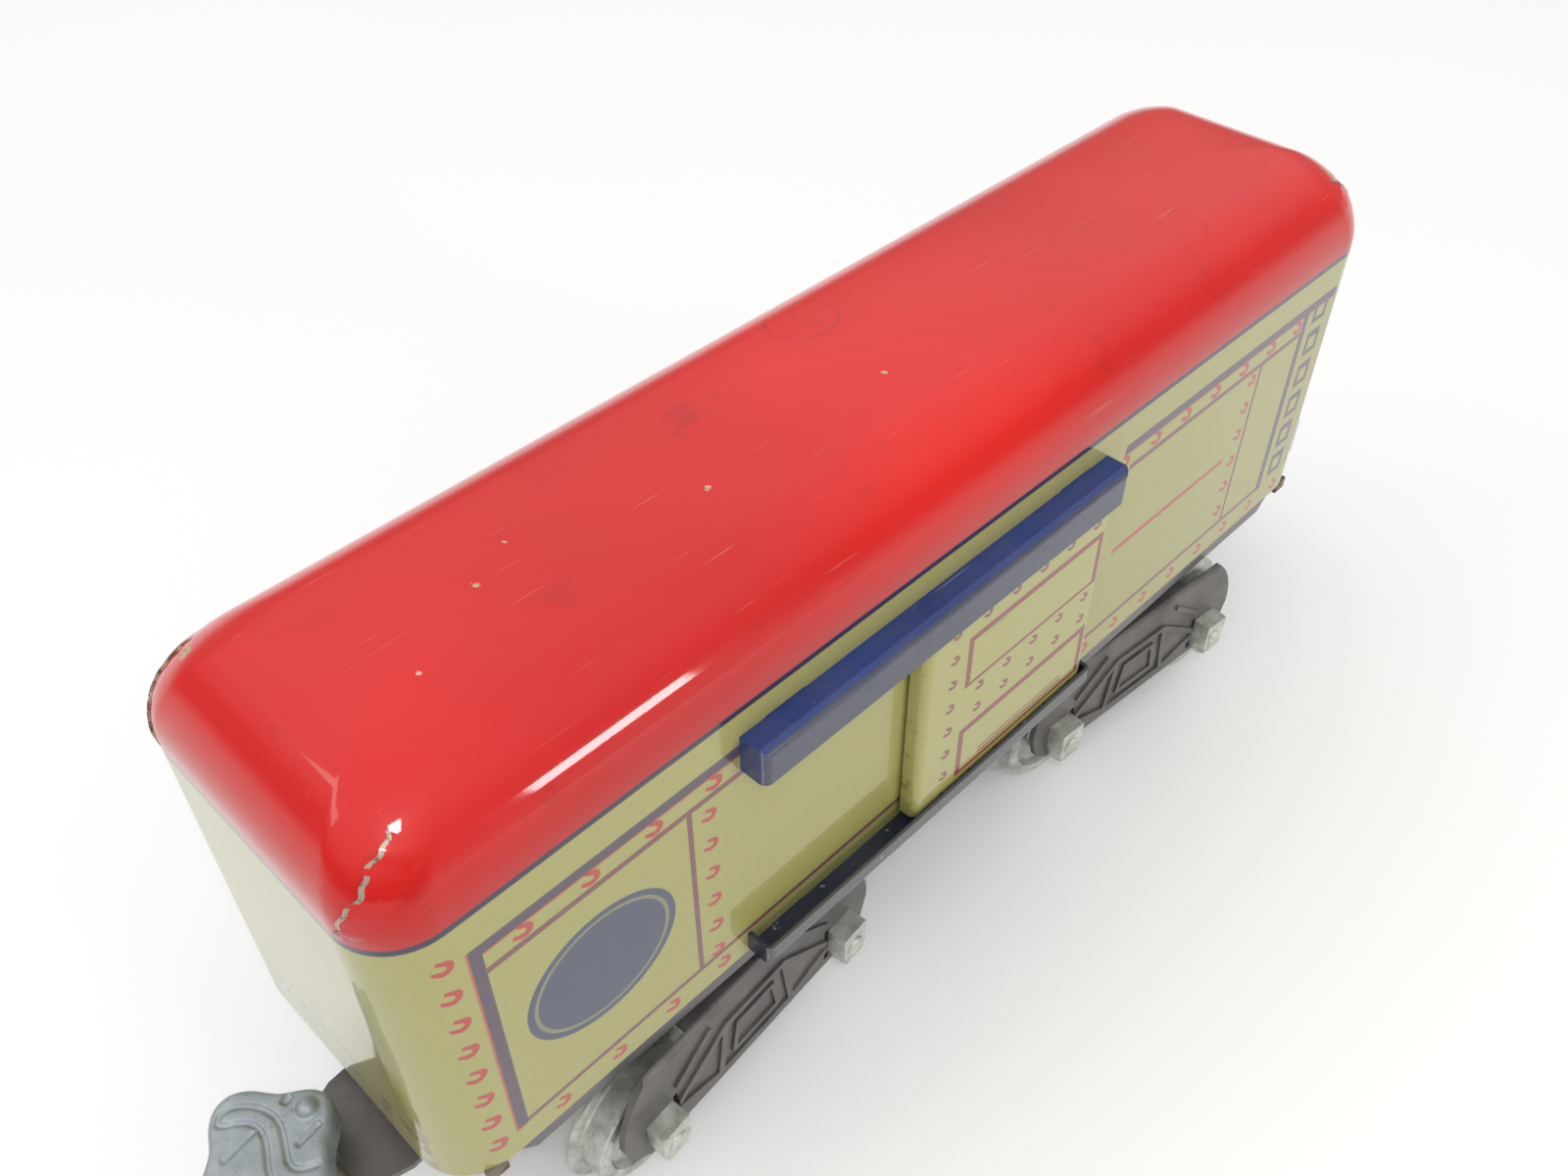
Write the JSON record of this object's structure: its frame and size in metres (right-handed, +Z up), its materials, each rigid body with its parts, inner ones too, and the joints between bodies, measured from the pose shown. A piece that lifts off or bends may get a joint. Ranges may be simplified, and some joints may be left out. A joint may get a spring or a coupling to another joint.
{
  "type": "model box car",
  "caption": "Tinplate O gauge model box car with a rounded roof, sliding doors in tray rails, swivelling four-wheel trucks, cast journal boxes and tipping knuckle couplers.",
  "frame": {"origin": "middle of the car, on the surface that the wheel flanges stand on", "axes": "+Z up, +X along the car towards the rear end, -Y is the left side"},
  "size_m": [0.1892, 0.0464, 0.0761],
  "materials": {
    "litho": "printed tinplate, gloss varnish: red roof, pale yellow-green walls",
    "door_litho": "printed tinplate, gloss varnish, pillow pressed",
    "blue_enamel": "blue enamel over tinplate, bare cut edges",
    "frame_enamel": "dull purple-grey enamel",
    "truck_steel": "dull dark grey-brown, worn",
    "drawbar_steel": "aged bare steel",
    "journal_zinc": "plated casting, satin",
    "wheel_zinc": "die-cast zinc, dull",
    "coupler_zinc": "die-cast zinc, blue-grey",
    "rivet_steel": "bright steel"
  },
  "bodies": {
    "carbody": {"body_shell": "litho", "lower_rail_left": "blue_enamel", "lower_rail_right": "blue_enamel", "pivot_rivet_front": "rivet_steel", "pivot_rivet_rear": "rivet_steel", "pivot_spacer_front": "rivet_steel", "pivot_spacer_rear": "rivet_steel", "underframe": "frame_enamel", "upper_rail_left": "blue_enamel", "upper_rail_right": "blue_enamel"},
    "left_door": {"door_left": "door_litho"},
    "right_door": {"door_right": "door_litho"},
    "front_truck": {"coupler_pin_front": "rivet_steel", "drawbar_front": "drawbar_steel", "drawbar_rivet_front": "rivet_steel", "journal_box_front_inner_left": "journal_zinc", "journal_box_front_inner_right": "journal_zinc", "journal_box_front_outer_left": "journal_zinc", "journal_box_front_outer_right": "journal_zinc", "truck_frame_front": "truck_steel"},
    "front_coupler": {"coupler_front": "coupler_zinc"},
    "front_outer_wheelset": {"axle_front_outer": "rivet_steel", "wheel_front_outer_left": "wheel_zinc", "wheel_front_outer_right": "wheel_zinc"},
    "front_inner_wheelset": {"axle_front_inner": "rivet_steel", "wheel_front_inner_left": "wheel_zinc", "wheel_front_inner_right": "wheel_zinc"},
    "rear_truck": {"coupler_pin_rear": "rivet_steel", "drawbar_rear": "drawbar_steel", "drawbar_rivet_rear": "rivet_steel", "journal_box_rear_inner_left": "journal_zinc", "journal_box_rear_inner_right": "journal_zinc", "journal_box_rear_outer_left": "journal_zinc", "journal_box_rear_outer_right": "journal_zinc", "truck_frame_rear": "truck_steel"},
    "rear_coupler": {"coupler_rear": "coupler_zinc"},
    "rear_outer_wheelset": {"axle_rear_outer": "rivet_steel", "wheel_rear_outer_left": "wheel_zinc", "wheel_rear_outer_right": "wheel_zinc"},
    "rear_inner_wheelset": {"axle_rear_inner": "rivet_steel", "wheel_rear_inner_left": "wheel_zinc", "wheel_rear_inner_right": "wheel_zinc"}
  },
  "joints": [
    {"name": "front_truck_swivel", "type": "hinge", "parent": "carbody", "child": "front_truck", "pos_m": [-0.0395, 0, 0.0212], "axis": [0, 0, 1], "range_deg": [-15, 5]},
    {"name": "front_coupler_tip", "type": "hinge", "parent": "front_truck", "child": "front_coupler", "pos_m": [-0.08293, -0.0038, 0.0225], "axis": [-0.0872, 0.9962, 0], "range_deg": [0, 12]},
    {"name": "front_outer_axle_turn", "type": "hinge", "parent": "front_truck", "child": "front_outer_wheelset", "pos_m": [-0.05519, -0.00137, 0.0093], "axis": [-0.0872, 0.9962, 0], "continuous": true},
    {"name": "front_inner_axle_turn", "type": "hinge", "parent": "front_truck", "child": "front_inner_wheelset", "pos_m": [-0.02381, 0.00137, 0.0093], "axis": [-0.0872, 0.9962, 0], "continuous": true},
    {"name": "rear_truck_swivel", "type": "hinge", "parent": "carbody", "child": "rear_truck", "pos_m": [0.0395, 0, 0.0212], "axis": [0, 0, 1], "range_deg": [-5, 15]},
    {"name": "rear_coupler_tip", "type": "hinge", "parent": "rear_truck", "child": "rear_coupler", "pos_m": [0.08293, -0.0038, 0.0225], "axis": [-0.0872, -0.9962, 0], "range_deg": [0, 12]},
    {"name": "rear_outer_axle_turn", "type": "hinge", "parent": "rear_truck", "child": "rear_outer_wheelset", "pos_m": [0.05519, -0.00137, 0.0093], "axis": [0.0872, 0.9962, 0], "continuous": true},
    {"name": "rear_inner_axle_turn", "type": "hinge", "parent": "rear_truck", "child": "rear_inner_wheelset", "pos_m": [0.02381, 0.00137, 0.0093], "axis": [0.0872, 0.9962, 0], "continuous": true},
    {"name": "left_door_slide", "type": "slide", "parent": "carbody", "child": "left_door", "axis": [-1, 0, 0], "range_m": [0, 0.0232]},
    {"name": "right_door_slide", "type": "slide", "parent": "carbody", "child": "right_door", "axis": [1, 0, 0], "range_m": [0, 0.0232]}
  ]
}
